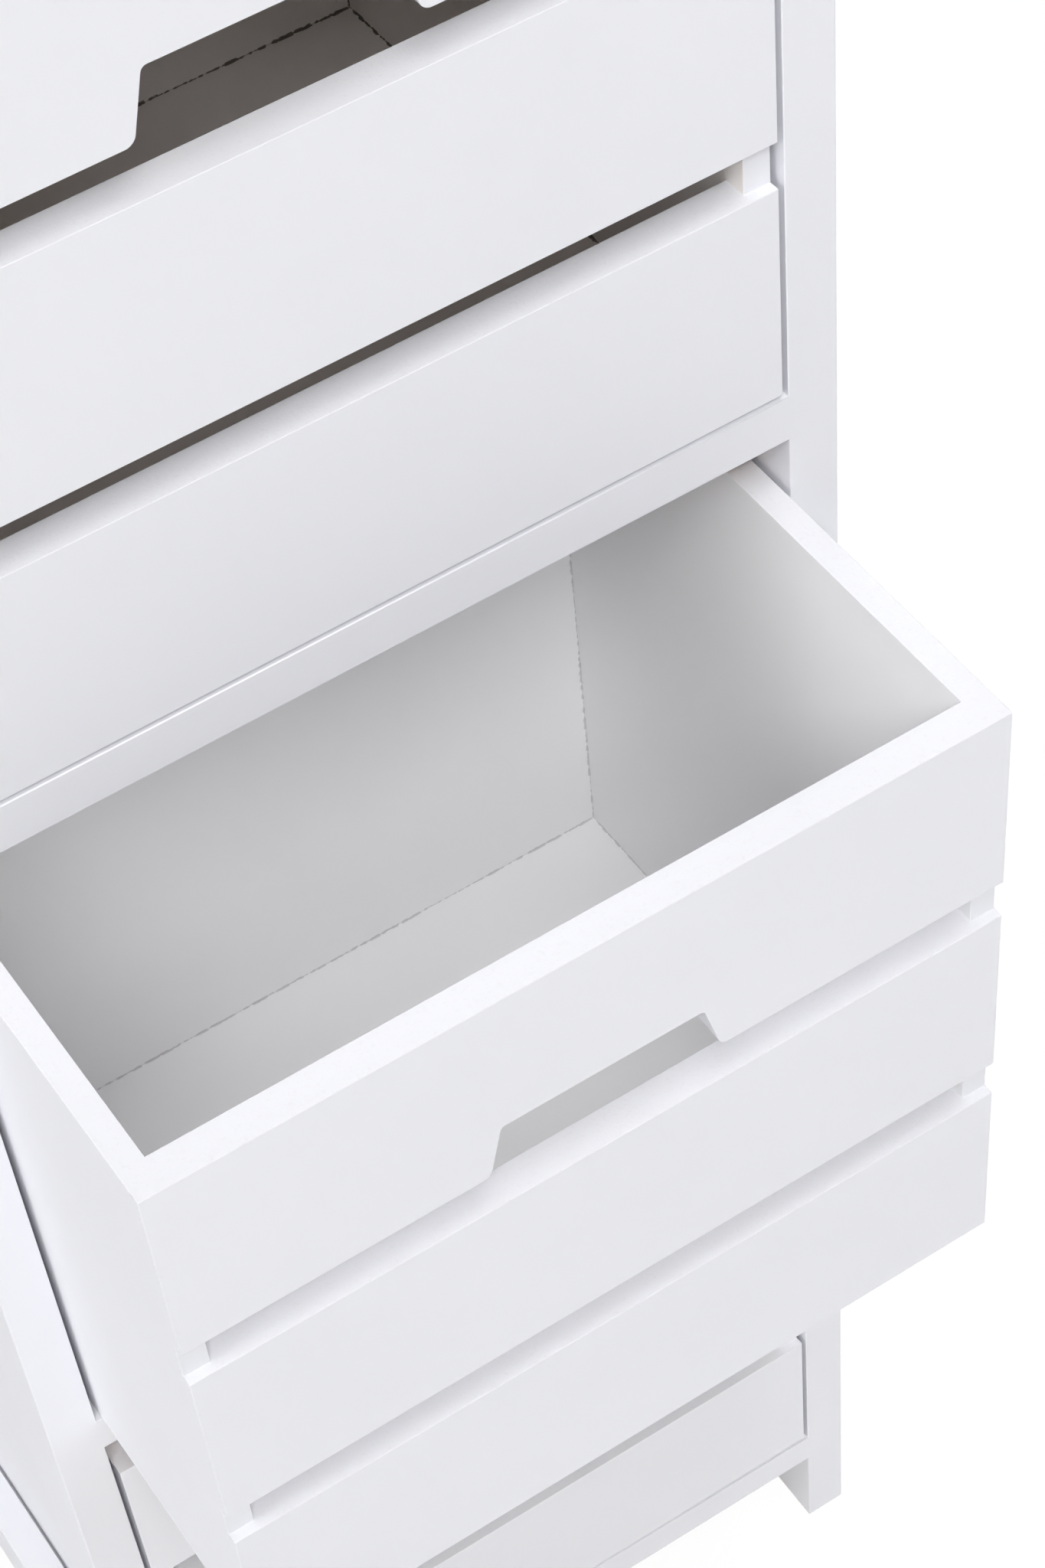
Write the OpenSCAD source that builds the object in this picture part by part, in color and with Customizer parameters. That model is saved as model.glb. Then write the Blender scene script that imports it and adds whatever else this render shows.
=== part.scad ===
// Storage tower for a bathroom: a white post-and-rail frame on four legs with
// three slatted drawers. The middle drawer is drawn standing open.
// X runs to the right, Y from front to back and Z up; the floor is Z = 0.

/* [Cabinet] */
// Width over the posts
cabinet_w = 430; // [380:5:600]
// Depth from the front faces of the posts to the rear face of the back panel
cabinet_d = 330; // [300:5:450]
// Free height of the legs under the bottom rails
leg_h = 66; // [40:1:120]
// Height of each drawer opening
bay_h = 370; // [300:5:420]

/* [Frame] */
// Width of a post, seen from the front
post_w = 23; // [22:0.5:30]
// Depth of a post, seen from the side
post_d = 43; // [40:1:50]
// Height of the rails between the drawers and above them
rail_h = 22.5; // [20:0.5:35]
// Height of the rail under the bottom drawer
bottom_rail_h = 23; // [20:0.5:35]
// Depth of the front rails
rail_d = 22; // [18:0.5:26]
// Height of the side rails, low and high
side_rail_h = 45; // [44:1:80]
// Thickness of the rear rails
rear_rail_t = 15; // [13:0.5:20]
// How far a rear rail stands up behind the drawer that it stops
rear_stop_h = 20; // [15:1:40]
// Thickness of the top board
top_t = 18; // [16:1:30]
// Overhang of the top board at the front and sides
top_over = 10; // [0:1:20]
// Radius of the eased long edges
edge_r = 1.2; // [0.5:0.1:1.5]

/* [Panels] */
// Thickness of the side panels, which sit against the inner ends of the frame
panel_t = 3; // [3:0.5:5]
// Width of the rebate round a side panel
rebate_w = 8; // [6:0.5:10]
// Thickness of the back panel
back_t = 3; // [3:0.5:4]
// Step from the outer edge of a rear post to the edge of the back panel
back_inset = 1.5; // [1:0.5:3]

/* [Runners] */
// Thickness of the boards that the drawers slide on
runner_t = 16; // [14.5:0.5:18]
// Gap between a drawer and the board under it
slide_gap = 0.3; // [0.3:0.1:0.8]
// Gap between a drawer and the board over it
kick_gap = 1.2; // [0.5:0.1:3]
// Distance from the rail's front face to a pull-out stop
stop_y = 40; // [30:1:80]
// Length of a pull-out stop along the drawer
stop_len = 15; // [12:1:25]
// Thickness of a pull-out stop
stop_t = 12; // [8:1:16]
// How far a pull-out stop hangs into the drawer
stop_drop = 10; // [5:1:20]
// Gap at which a drawer meets its stops
stop_gap = 0.3; // [0.3:0.1:1]

/* [Drawers] */
// How far the middle drawer stands open
drawer_pull = 146.3; // [20:0.1:220]
// Gap from a drawer front to the post beside it
side_gap = 2.7; // [1:0.1:3]
// Gap from a drawer front to the rail under it
drawer_lift = 2.5; // [1:0.1:5]
// Gap from a drawer front to the rail over it
top_gap = 26.5; // [20:0.5:40]
// Thickness of the front slats
slat_t = 16; // [14:0.5:20]
// Height of the slots between the slats
slot_h = 21; // [12:0.5:30]
// Thickness of the slat tongue in front of a drawer side
tongue_t = 5; // [4:0.5:6]
// Thickness of the drawer sides
side_t = 12; // [11:0.5:14]
// Thickness of the drawer back
drawer_back_t = 12; // [11:0.5:14]
// Thickness of the drawer floor
floor_t = 4; // [3:0.5:5]
// Height of the floor's underside over the drawer's lower edge
floor_lift = 3.5; // [3:0.5:8]
// Depth of the groove that holds the floor
groove_d = 5; // [3:0.5:6]
// Play of the floor and the side panels in their grooves and rebates
panel_play = 0.2; // [0.1:0.1:0.4]

/* [Finger cut-out] */
// Width of the cut-out at its top
cut_w_top = 92; // [60:1:120]
// Width of the cut-out at the slat's lower edge
cut_w_edge = 106; // [80:1:140]
// Height of the cut-out
cut_h = 26.5; // [18:0.5:35]
// Radius of its corners, inner and outer
cut_r = 4; // [2:0.5:8]

/* [Joinery] */
// Diameter of the frame dowels
dowel_d = 8; // [6:0.5:9]
// Depth of a frame dowel in a post or in the top board
dowel_in_post = 12; // [8:0.5:13]
// Depth of a frame dowel in a rail
dowel_in_rail = 24; // [15:1:30]
// Distance from a side rail's outer edge to its first dowel
side_dowel_z = 22; // [21:0.5:24]
// Distance between the two dowels at a side rail's end
side_dowel_pitch = 15; // [13:0.5:16]
// Diameter of the drawer dowels
pin_d = 6; // [4:0.5:6.5]
// Depth of a drawer dowel in a drawer side
pin_in_side = 8; // [5:0.5:9]
// Depth of a drawer dowel in a slat or a drawer back
pin_in_slat = 16; // [10:1:25]
// Diameter of the screws
screw_d = 4; // [3:0.1:4.5]
// Diameter of the screw heads
screw_head_d = 8; // [7:0.1:9]
// Depth of a runner screw in the post
screw_in_post = 16; // [10:1:18]
// Depth of a stop's screw in the runner
screw_in_runner = 12; // [8:1:13]
// Distance from a post's edge to the runner screws
screw_inset_y = 11; // [9:0.5:13]
// Distance from a runner's edge to its screws
screw_inset_z = 12.5; // [11:0.5:13]
// Diameter of the back panel's nails
nail_d = 1.6; // [1.2:0.1:2]
// Diameter of the nail heads
nail_head_d = 3.4; // [3:0.1:5]
// Length of the nails
nail_l = 16; // [12:1:18]
// Glue or driving clearance round dowels, screws and nails
fit_gap = 0.05; // [0.02:0.01:0.1]

/* [Hidden] */
LEFT = -1;
RIGHT = 1;
SIDES = [["left", LEFT], ["right", RIGHT]];
ENDS = ["front", "rear"];
LEVELS = ["bottom", "lower", "upper", "top"];
BAYS = ["bottom", "middle", "top"];
SLATS = ["top", "middle", "bottom"];
TOP_LEVEL = len(LEVELS) - 1;
OPEN_BAY = 1;

white_paint = [0.94, 0.94, 0.93];
bare_wood = [0.80, 0.68, 0.52];
zinc = [0.70, 0.71, 0.73];

half_w = cabinet_w / 2;
inner_x = half_w - post_w;
carcass_d = cabinet_d - back_t;
rear_y = carcass_d - post_d;
runner_end_y = carcass_d - rear_rail_t;
post_mid_x = inner_x + post_w / 2;

function rail_height(level) = level == 0 ? bottom_rail_h : rail_h;
function rail_z(level) =
    level == 0 ? leg_h : leg_h + bottom_rail_h + level * bay_h + (level - 1) * rail_h;
function bay_z(bay) = rail_z(bay) + rail_height(bay);
frame_top = rail_z(TOP_LEVEL) + rail_h;

// The board under each bay, and the one over the top bay
function board_low(level) = level == 0 ? leg_h : rail_z(level) - top_gap + kick_gap;
function board_high(level) =
    level == TOP_LEVEL ? frame_top : bay_z(level) + drawer_lift - slide_gap;
function board_screws_z(level) =
    level == 0 ? [leg_h + screw_inset_z]
    : level == TOP_LEVEL ? [frame_top - screw_inset_z]
    : [board_low(level) + screw_inset_z, board_high(level) - screw_inset_z];
runner_x = inner_x - runner_t;

// A rear rail rises behind its drawer and stops it when it shuts
function rear_rail_low(level) = level == TOP_LEVEL ? frame_top - side_rail_h : rail_z(level);
function rear_rail_high(level) =
    level == TOP_LEVEL ? frame_top : board_high(level) + rear_stop_h;

drawer_half = inner_x - side_gap;
drawer_in = drawer_half - side_t;
drawer_len = runner_end_y - stop_gap;
drawer_h = bay_h - top_gap - drawer_lift;
slat_h = (drawer_h - (len(SLATS) - 1) * slot_h) / len(SLATS);
back_y = drawer_len - drawer_back_t;
function drawer_z(bay) = bay_z(bay) + drawer_lift;
function drawer_y(bay) = bay == OPEN_BAY ? -drawer_pull : 0;
function slat_z(row) = drawer_h - (row + 1) * slat_h - row * slot_h;

// The origin is the middle of the space that the whole object takes up, on the floor
centre_y = (cabinet_d - max(drawer_pull, top_over)) / 2;

screw_head_h = (screw_head_d - screw_d) / 2;
screw_tip_h = 3;
drive_w = screw_head_d * 0.45;
drive_t = 0.8;
drive_h = 1.2;
nail_head_h = 0.8;
nail_edge = 6;
nails_per_post = 9;
nail_end = 25;
nails_per_rail = 4;
stop_head_room = 3;
past = 1;

$fn = 48;

module on_side(side) {
    mirror([side == LEFT ? 1 : 0, 0, 0])
        children();
}

module placed() {
    translate([0, -centre_y, 0])
        children();
}

module in_drawer(bay) {
    translate([0, drawer_y(bay), drawer_z(bay)])
        children();
}

module block(low, high) {
    translate(low)
        cube(high - low);
}

module rounded_rect(size, r) {
    square([size.x - 2 * r, size.y], center = true);
    square([size.x, size.y - 2 * r], center = true);
    for (sx = [-1, 1])
        for (sy = [-1, 1])
            translate([sx * (size.x / 2 - r), sy * (size.y / 2 - r)])
                circle(r = r);
}

// Bars with eased long edges, along X, Y or Z, between two opposite corners
module bar_x(low, high) {
    size = high - low;
    translate([low.x, (low.y + high.y) / 2, (low.z + high.z) / 2])
        rotate([90, 0, 90])
            linear_extrude(size.x)
                rounded_rect([size.y, size.z], edge_r);
}

module bar_y(low, high) {
    size = high - low;
    translate([(low.x + high.x) / 2, high.y, (low.z + high.z) / 2])
        rotate([90, 0, 0])
            linear_extrude(size.y)
                rounded_rect([size.x, size.z], edge_r);
}

module bar_z(low, high) {
    size = high - low;
    translate([(low.x + high.x) / 2, (low.y + high.y) / 2, low.z])
        linear_extrude(size.z)
            rounded_rect([size.x, size.y], edge_r);
}

// Round pegs along X, Y or Z; grow makes the hole that takes the peg
module peg_x(x0, x1, y, z, d, grow) {
    translate([x0 - grow, y, z])
        rotate([0, 90, 0])
            cylinder(d = d + 2 * grow, h = x1 - x0 + 2 * grow);
}

module peg_y(x, y0, y1, z, d, grow) {
    translate([x, y0 - grow, z])
        rotate([-90, 0, 0])
            cylinder(d = d + 2 * grow, h = y1 - y0 + 2 * grow);
}

module peg_z(x, y, z0, z1, d, grow) {
    translate([x, y, z0 - grow])
        cylinder(d = d + 2 * grow, h = z1 - z0 + 2 * grow);
}

// Countersunk screw whose head lies flush at x and whose tip points to +X
module screw_x(x, y, z, length, grow) {
    translate([x, y, z])
        rotate([0, 90, 0]) {
            cylinder(d1 = screw_head_d + 2 * grow, d2 = screw_d + 2 * grow, h = screw_head_h);
            cylinder(d = screw_d + 2 * grow, h = length - screw_tip_h);
            translate([0, 0, length - screw_tip_h])
                cylinder(d1 = screw_d + 2 * grow, d2 = screw_d / 4, h = screw_tip_h + grow);
        }
}

module screw_with_drive(x, y, z, length) {
    difference() {
        screw_x(x, y, z, length, 0);
        translate([x, y, z]) {
            cube([2 * drive_h, drive_w, drive_t], center = true);
            cube([2 * drive_h, drive_t, drive_w], center = true);
        }
    }
}

// Dowels that join one post to its rails and to the top board, on the right
module post_dowels(end, grow) {
    rail_start = inner_x - dowel_in_rail;
    rail_stop = inner_x + dowel_in_post;
    for (level = [0 : TOP_LEVEL]) {
        if (end == "front")
            peg_x(rail_start, rail_stop, rail_d / 2, rail_z(level) + rail_height(level) / 2, dowel_d, grow);
        else
            for (share = [0.25, 0.75])
                peg_x(rail_start, rail_stop, carcass_d - rear_rail_t / 2,
                    rear_rail_low(level) * (1 - share) + rear_rail_high(level) * share, dowel_d, grow);
    }
    joint_y = end == "front" ? post_d : rear_y;
    for (step = [0, side_dowel_pitch]) {
        for (z = [leg_h + side_dowel_z + step, frame_top - side_dowel_z - step])
            peg_y(post_mid_x, joint_y - dowel_in_post, joint_y + dowel_in_post, z, dowel_d, grow);
    }
    post_mid_y = end == "front" ? post_d / 2 : rear_y + post_d / 2;
    peg_z(post_mid_x, post_mid_y, frame_top - dowel_in_post, frame_top + dowel_in_post, dowel_d, grow);
}

module all_post_dowels(grow) {
    for (side = SIDES)
        for (end = ENDS)
            on_side(side[1])
                post_dowels(end, grow);
}

function board_screws_y() = [post_d - screw_inset_y, rear_y + screw_inset_y];

// Screw places of one runner board on the right
module board_screw_holes(level) {
    for (y = board_screws_y())
        for (z = board_screws_z(level))
            screw_x(runner_x, y, z, runner_t + screw_in_post, fit_gap);
}

// The screw that holds the pull-out stop under one board on the right
function stop_screw_z(level) =
    (board_low(level) + rail_z(level) - stop_head_room) / 2;

module stop_screw_hole(level) {
    screw_x(runner_x - stop_t, stop_y + stop_len / 2, stop_screw_z(level),
        stop_t + screw_in_runner, fit_gap);
}

module nail(x, z, grow) {
    peg_y(x, cabinet_d - nail_l, cabinet_d, z, nail_d, grow);
    peg_y(x, cabinet_d - nail_head_h, cabinet_d, z, nail_head_d, grow);
}

module nails(grow) {
    column = frame_top - leg_h - 2 * nail_end;
    for (side = SIDES)
        for (row = [0 : nails_per_post - 1])
            nail(side[1] * (half_w - nail_edge), leg_h + nail_end + row * column / (nails_per_post - 1), grow);
    for (level = [0 : TOP_LEVEL])
        for (place = [1 : nails_per_rail])
            nail(inner_x * (2 * place / (nails_per_rail + 1) - 1),
                (rear_rail_low(level) + rear_rail_high(level)) / 2, grow);
}

// Room for the right side panel, cut from the posts and side rails
module panel_rebate() {
    block([inner_x - past, post_d - rebate_w - panel_play, leg_h + side_rail_h - rebate_w - panel_play],
        [inner_x + panel_t, rear_y + rebate_w + panel_play, frame_top - side_rail_h + rebate_w + panel_play]);
}

module post(side, end) {
    y0 = end == "front" ? 0 : rear_y;
    color(white_paint)
        placed()
            difference() {
                on_side(side)
                    difference() {
                        bar_z([inner_x, y0, 0], [half_w, y0 + post_d, frame_top]);
                        panel_rebate();
                        post_dowels(end, fit_gap);
                        for (level = [0 : TOP_LEVEL])
                            board_screw_holes(level);
                    }
                if (end == "rear")
                    nails(fit_gap);
            }
}

module front_rail(level) {
    color(white_paint)
        placed()
            difference() {
                bar_x([-inner_x, 0, rail_z(level)], [inner_x, rail_d, rail_z(level) + rail_height(level)]);
                for (side = SIDES)
                    on_side(side[1])
                        post_dowels("front", fit_gap);
            }
}

module rear_rail(level) {
    color(bare_wood)
        placed()
            difference() {
                bar_x([-inner_x, runner_end_y, rear_rail_low(level)], [inner_x, carcass_d, rear_rail_high(level)]);
                for (side = SIDES)
                    on_side(side[1])
                        post_dowels("rear", fit_gap);
                nails(fit_gap);
            }
}

module side_rail(side, is_top) {
    z0 = is_top ? frame_top - side_rail_h : leg_h;
    color(white_paint)
        placed()
            on_side(side)
                difference() {
                    bar_y([inner_x, post_d, z0], [half_w, rear_y, z0 + side_rail_h]);
                    panel_rebate();
                    post_dowels("front", fit_gap);
                    post_dowels("rear", fit_gap);
                }
}

module side_panel(side) {
    color(white_paint)
        placed()
            on_side(side)
                block([inner_x, post_d - rebate_w, leg_h + side_rail_h - rebate_w],
                    [inner_x + panel_t, rear_y + rebate_w, frame_top - side_rail_h + rebate_w]);
}

module back_panel() {
    color(white_paint)
        placed()
            difference() {
                block([back_inset - half_w, carcass_d, leg_h], [half_w - back_inset, cabinet_d, frame_top]);
                nails(fit_gap);
            }
}

module top_board() {
    color(white_paint)
        placed()
            difference() {
                bar_x([-half_w - top_over, -top_over, frame_top], [half_w + top_over, cabinet_d, frame_top + top_t]);
                all_post_dowels(fit_gap);
            }
}

// Board that carries one drawer and keeps the one below from tipping
module runner(side, level) {
    color(bare_wood)
        placed()
            on_side(side)
                difference() {
                    bar_y([runner_x, rail_d, board_low(level)], [inner_x, runner_end_y, board_high(level)]);
                    board_screw_holes(level);
                    if (level > 0)
                        stop_screw_hole(level);
                }
}

// Small blocks that catch the back of a drawer when it is pulled out
module drawer_stops() {
    color(bare_wood)
        placed()
            for (side = SIDES)
                for (level = [1 : TOP_LEVEL])
                    on_side(side[1])
                        difference() {
                            bar_z([runner_x - stop_t, stop_y, rail_z(level) - top_gap - stop_drop],
                                [runner_x, stop_y + stop_len, rail_z(level) - stop_head_room]);
                            stop_screw_hole(level);
                        }
}

module stop_screws() {
    color(zinc)
        placed()
            for (side = SIDES)
                for (level = [1 : TOP_LEVEL])
                    on_side(side[1])
                        screw_with_drive(runner_x - stop_t, stop_y + stop_len / 2, stop_screw_z(level),
                            stop_t + screw_in_runner);
}

module frame_dowels() {
    color(bare_wood)
        placed()
            all_post_dowels(0);
}

module runner_screws() {
    color(zinc)
        placed()
            for (side = SIDES)
                for (level = [0 : TOP_LEVEL])
                    for (y = board_screws_y())
                        for (z = board_screws_z(level))
                            on_side(side[1])
                                screw_with_drive(runner_x, y, z, runner_t + screw_in_post);
}

module back_panel_nails() {
    color(zinc)
        placed()
            nails(0);
}

// Drawer pieces are drawn from the drawer's own corner: Y = 0 is the front
// face of its slats and Z = 0 its lower edge.

module floor_board(play) {
    block([-drawer_in - groove_d - play, slat_t - groove_d - play, floor_lift - play],
        [drawer_in + groove_d + play, back_y + groove_d + play, floor_lift + floor_t + play]);
}

module drawer_pegs(grow) {
    for (side = SIDES)
        on_side(side[1])
            for (share = [0.25, 0.75]) {
                for (row = [0 : len(SLATS) - 1])
                    peg_x(drawer_in - pin_in_slat, drawer_in + pin_in_side,
                        (tongue_t + slat_t) / 2, slat_z(row) + share * slat_h, pin_d, grow);
                for (half = [0, 0.5])
                    peg_x(drawer_in - pin_in_slat, drawer_in + pin_in_side,
                        back_y + drawer_back_t / 2, (half + share / 2) * drawer_h, pin_d, grow);
            }
}

// Outline of the finger cut-out over the slat's lower edge, with all corners rounded
module finger_outline() {
    run = (cut_w_edge - cut_w_top) / 2;
    slope_l = sqrt(run * run + cut_h * cut_h);
    step = cut_r * (slope_l - run) / cut_h;
    reach = [cut_h, run] * cut_r / slope_l;
    top_arc = [cut_w_top / 2 - step, cut_h - cut_r];
    edge_arc = [cut_w_edge / 2 + step, cut_r];
    polygon([[-cut_w_edge / 2, 0], [cut_w_edge / 2, 0],
        top_arc + reach, [top_arc.x, cut_h],
        [-top_arc.x, cut_h], [-top_arc.x - reach.x, top_arc.y + reach.y]]);
    translate([-edge_arc.x, -past])
        square([2 * edge_arc.x, past]);
    for (sx = [-1, 1]) {
        translate([sx * top_arc.x, top_arc.y])
            circle(r = cut_r);
        difference() {
            polygon([[sx * cut_w_edge / 2, 0],
                [sx * (edge_arc.x - reach.x), edge_arc.y - reach.y], [sx * edge_arc.x, 0]]);
            translate([sx * edge_arc.x, edge_arc.y])
                circle(r = cut_r);
        }
    }
}

module drawer_slat(bay, row) {
    color(white_paint)
        placed()
            in_drawer(bay)
                difference() {
                    bar_x([-drawer_half, 0, slat_z(row)], [drawer_half, slat_t, slat_z(row) + slat_h]);
                    for (side = SIDES)
                        on_side(side[1])
                            block([drawer_in, tongue_t, slat_z(row) - past],
                                [drawer_half + past, slat_t + past, slat_z(row) + slat_h + past]);
                    if (row == 0)
                        translate([0, slat_t + past, slat_z(row)])
                            rotate([90, 0, 0])
                                linear_extrude(slat_t + 2 * past)
                                    finger_outline();
                    if (row == len(SLATS) - 1)
                        floor_board(panel_play);
                    drawer_pegs(fit_gap);
                }
}

module drawer_side(bay, side) {
    color(white_paint)
        placed()
            in_drawer(bay)
                difference() {
                    on_side(side)
                        bar_y([drawer_in, tongue_t, 0], [drawer_half, drawer_len, drawer_h]);
                    floor_board(panel_play);
                    drawer_pegs(fit_gap);
                }
}

module drawer_back(bay) {
    color(white_paint)
        placed()
            in_drawer(bay)
                difference() {
                    bar_x([-drawer_in, back_y, 0], [drawer_in, drawer_len, drawer_h]);
                    floor_board(panel_play);
                    drawer_pegs(fit_gap);
                }
}

module drawer_floor(bay) {
    color(white_paint)
        placed()
            in_drawer(bay)
                floor_board(0);
}

module drawer_dowels(bay) {
    color(bare_wood)
        placed()
            in_drawer(bay)
                drawer_pegs(0);
}

for (end = ENDS)
    for (side = SIDES)
        post(side[1], end);

for (level = [0 : TOP_LEVEL]) {
    front_rail(level);
    rear_rail(level);
}

for (side = SIDES) {
    side_rail(side[1], false);
    side_rail(side[1], true);
    side_panel(side[1]);
    for (level = [0 : TOP_LEVEL])
        runner(side[1], level);
}

back_panel();
top_board();
drawer_stops();
stop_screws();
frame_dowels();
runner_screws();
back_panel_nails();

for (bay = [0 : len(BAYS) - 1]) {
    for (row = [0 : len(SLATS) - 1])
        drawer_slat(bay, row);
    for (side = SIDES)
        drawer_side(bay, side[1]);
    drawer_back(bay);
    drawer_floor(bay);
    drawer_dowels(bay);
}
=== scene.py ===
"""Storage tower: a white post-and-rail frame with three slatted drawers.

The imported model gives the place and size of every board. The painted boards are
built again here with eased edges that stop at the joints, and every piece gets
its finish. Lengths are in metres and angles in radians.
"""

import logging
from dataclasses import dataclass, field
from enum import Enum, IntEnum
from typing import Callable, Iterable, Sequence

import bmesh
import bpy
from mathutils import Matrix, Vector


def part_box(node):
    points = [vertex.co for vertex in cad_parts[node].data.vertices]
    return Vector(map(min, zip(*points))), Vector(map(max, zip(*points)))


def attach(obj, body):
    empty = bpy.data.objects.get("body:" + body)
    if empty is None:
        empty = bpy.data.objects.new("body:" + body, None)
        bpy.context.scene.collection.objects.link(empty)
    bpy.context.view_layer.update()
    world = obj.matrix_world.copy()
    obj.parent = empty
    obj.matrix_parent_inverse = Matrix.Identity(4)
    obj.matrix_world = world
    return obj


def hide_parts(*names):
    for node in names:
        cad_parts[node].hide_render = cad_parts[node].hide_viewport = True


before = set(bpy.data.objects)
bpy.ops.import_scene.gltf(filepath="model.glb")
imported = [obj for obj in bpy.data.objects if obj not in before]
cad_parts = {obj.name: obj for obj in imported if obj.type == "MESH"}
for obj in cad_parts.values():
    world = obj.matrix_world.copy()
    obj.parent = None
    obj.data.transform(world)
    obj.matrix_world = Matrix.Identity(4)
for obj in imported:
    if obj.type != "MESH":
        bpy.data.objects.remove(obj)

LOG = logging.getLogger("storage_tower")

Point = tuple[float, float, float]
Colour = tuple[float, float, float]
Span = tuple[float, float]
Socket = bpy.types.NodeSocket
FacePicker = Callable[[bpy.types.MeshPolygon], int]

# Boards that are nearer than this are joined.
JOINED = 0.0002
# Corners this near to a cut lie on it, and corners this near to each other are one.
CUT_REACH = 1e-6
MERGE_REACH = 1e-5
# Faces that turn by less are one plane, and edges that turn by more are eased.
FLAT_ANGLE = 0.001
SHARP_ANGLE = 0.5
# A face looks in a direction if the cosine between the two is more than this.
FACING = 0.7
QUARTER_TURN = 1.5708
# Faces across the rounding of an edge and of a foot.
EDGE_STEPS = 3
FOOT_STEPS = 4
# The whole range of a mask, and the ranges that hold most of a noise and nearly all of it.
FULL = (0.0, 1.0)
MOST_NOISE = (0.35, 0.65)
WIDE_NOISE = (0.3, 0.7)


class Axis(IntEnum):
    """The axes of the frame: to the right, to the rear and up."""

    X = 0
    Y = 1
    Z = 2


class Side(Enum):
    """The two sides of the tower, seen from the front."""

    LEFT = "left"
    RIGHT = "right"

    @property
    def outward(self) -> float:
        """The sign of X on the way out of the tower."""
        return -1.0 if self is Side.LEFT else 1.0


class End(Enum):
    """The two ends of the frame from front to back."""

    FRONT = "front"
    REAR = "rear"


class Level(Enum):
    """The heights at which rails and runners lie, from the floor up."""

    BOTTOM = "bottom"
    LOWER = "lower"
    UPPER = "upper"
    TOP = "top"


class Bay(Enum):
    """The drawer openings, from the floor up."""

    BOTTOM = "bottom"
    MIDDLE = "middle"
    TOP = "top"


class Row(Enum):
    """The slats of one drawer front, from its upper edge down."""

    TOP = "top"
    MIDDLE = "middle"
    BOTTOM = "bottom"


class Grain(Enum):
    """The way the fibres of a bare board run, as the turn that lays the grain along it."""

    ALONG_X = (0.0, 0.0, 0.0)
    ALONG_Y = (0.0, 0.0, -QUARTER_TURN)
    ALONG_Z = (0.0, QUARTER_TURN, 0.0)


@dataclass(frozen=True)
class Box:
    """An upright box between two opposite corners."""

    low: Vector
    high: Vector

    @classmethod
    def of(cls, node: str) -> "Box":
        """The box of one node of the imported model."""
        low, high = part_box(node)
        return cls(Vector(low), Vector(high))

    @property
    def size(self) -> Vector:
        """Its lengths along X, Y and Z."""
        return self.high - self.low

    @property
    def centre(self) -> Vector:
        """Its middle."""
        return (self.low + self.high) / 2

    def holds(self, point: Vector, margin: float = JOINED) -> bool:
        """Whether a point lies in it, or no more than a margin off its skin."""
        return all(self.low[axis] - margin < point[axis] < self.high[axis] + margin for axis in Axis)

    def encloses(self, point: Vector) -> bool:
        """Whether a point lies in it and off its skin."""
        return self.holds(point, -JOINED)

    def shared_with(self, other: "Box") -> "Box":
        """Finds the space that it shares with another box.

        Args:
            other: The other box.

        Returns:
            The shared space, whose size is negative where they don't meet.
        """
        low = [max(pair) for pair in zip(self.low, other.low)]
        high = [min(pair) for pair in zip(self.high, other.high)]
        return Box(Vector(low), Vector(high))


# Mesh work


def cut_at(bm: bmesh.types.BMesh, axis: Axis, place: float) -> None:
    """Cuts every face of a mesh along one upright or level plane.

    Args:
        bm: The mesh.
        axis: The axis that the plane is square to.
        place: Where the plane crosses that axis.
    """
    normal = Vector((0.0, 0.0, 0.0))
    normal[axis] = 1.0
    bmesh.ops.bisect_plane(
        bm,
        geom=bm.verts[:] + bm.edges[:] + bm.faces[:],
        dist=CUT_REACH,
        plane_co=normal * place,
        plane_no=normal,
    )


def solid_block(bm: bmesh.types.BMesh, box: Box) -> list[bmesh.types.BMFace]:
    """Adds a plain block to a mesh.

    Args:
        bm: The mesh.
        box: The space that the block fills.

    Returns:
        The block's faces.
    """
    made = bmesh.ops.create_cube(bm, size=1.0)
    bmesh.ops.scale(bm, vec=box.size, verts=made["verts"])
    bmesh.ops.translate(bm, vec=box.centre, verts=made["verts"])
    return list({face for vert in made["verts"] for face in vert.link_faces})


def push_back(bm: bmesh.types.BMesh, faces: list[bmesh.types.BMFace], depth: float) -> None:
    """Extrudes faces to the rear.

    Args:
        bm: The mesh.
        faces: The faces, which stay where they are.
        depth: How far the new faces lie behind them.
    """
    grown = bmesh.ops.extrude_face_region(bm, geom=faces)
    moved = [part for part in grown["geom"] if isinstance(part, bmesh.types.BMVert)]
    bmesh.ops.translate(bm, vec=(0.0, depth, 0.0), verts=moved)


def round_edges(
    bm: bmesh.types.BMesh,
    edges: list[bmesh.types.BMEdge],
    reach: float,
    steps: int,
    smooth: bool = True,
    clamp_overlap: bool = False,
) -> None:
    """Rounds edges of a mesh.

    Args:
        bm: The mesh.
        edges: The edges.
        reach: How far a rounding reaches into the faces beside its edge.
        steps: Faces across one rounding.
        smooth: Whether those faces are shaded as one curve.
        clamp_overlap: Whether roundings stop where they would meet.
    """
    rounded = bmesh.ops.bevel(
        bm,
        geom=edges,
        offset=reach,
        offset_type="OFFSET",
        segments=steps,
        profile=0.5,
        affect="EDGES",
        clamp_overlap=clamp_overlap,
        material=-1,
    )
    for face in rounded["faces"]:
        face.smooth = smooth


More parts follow.
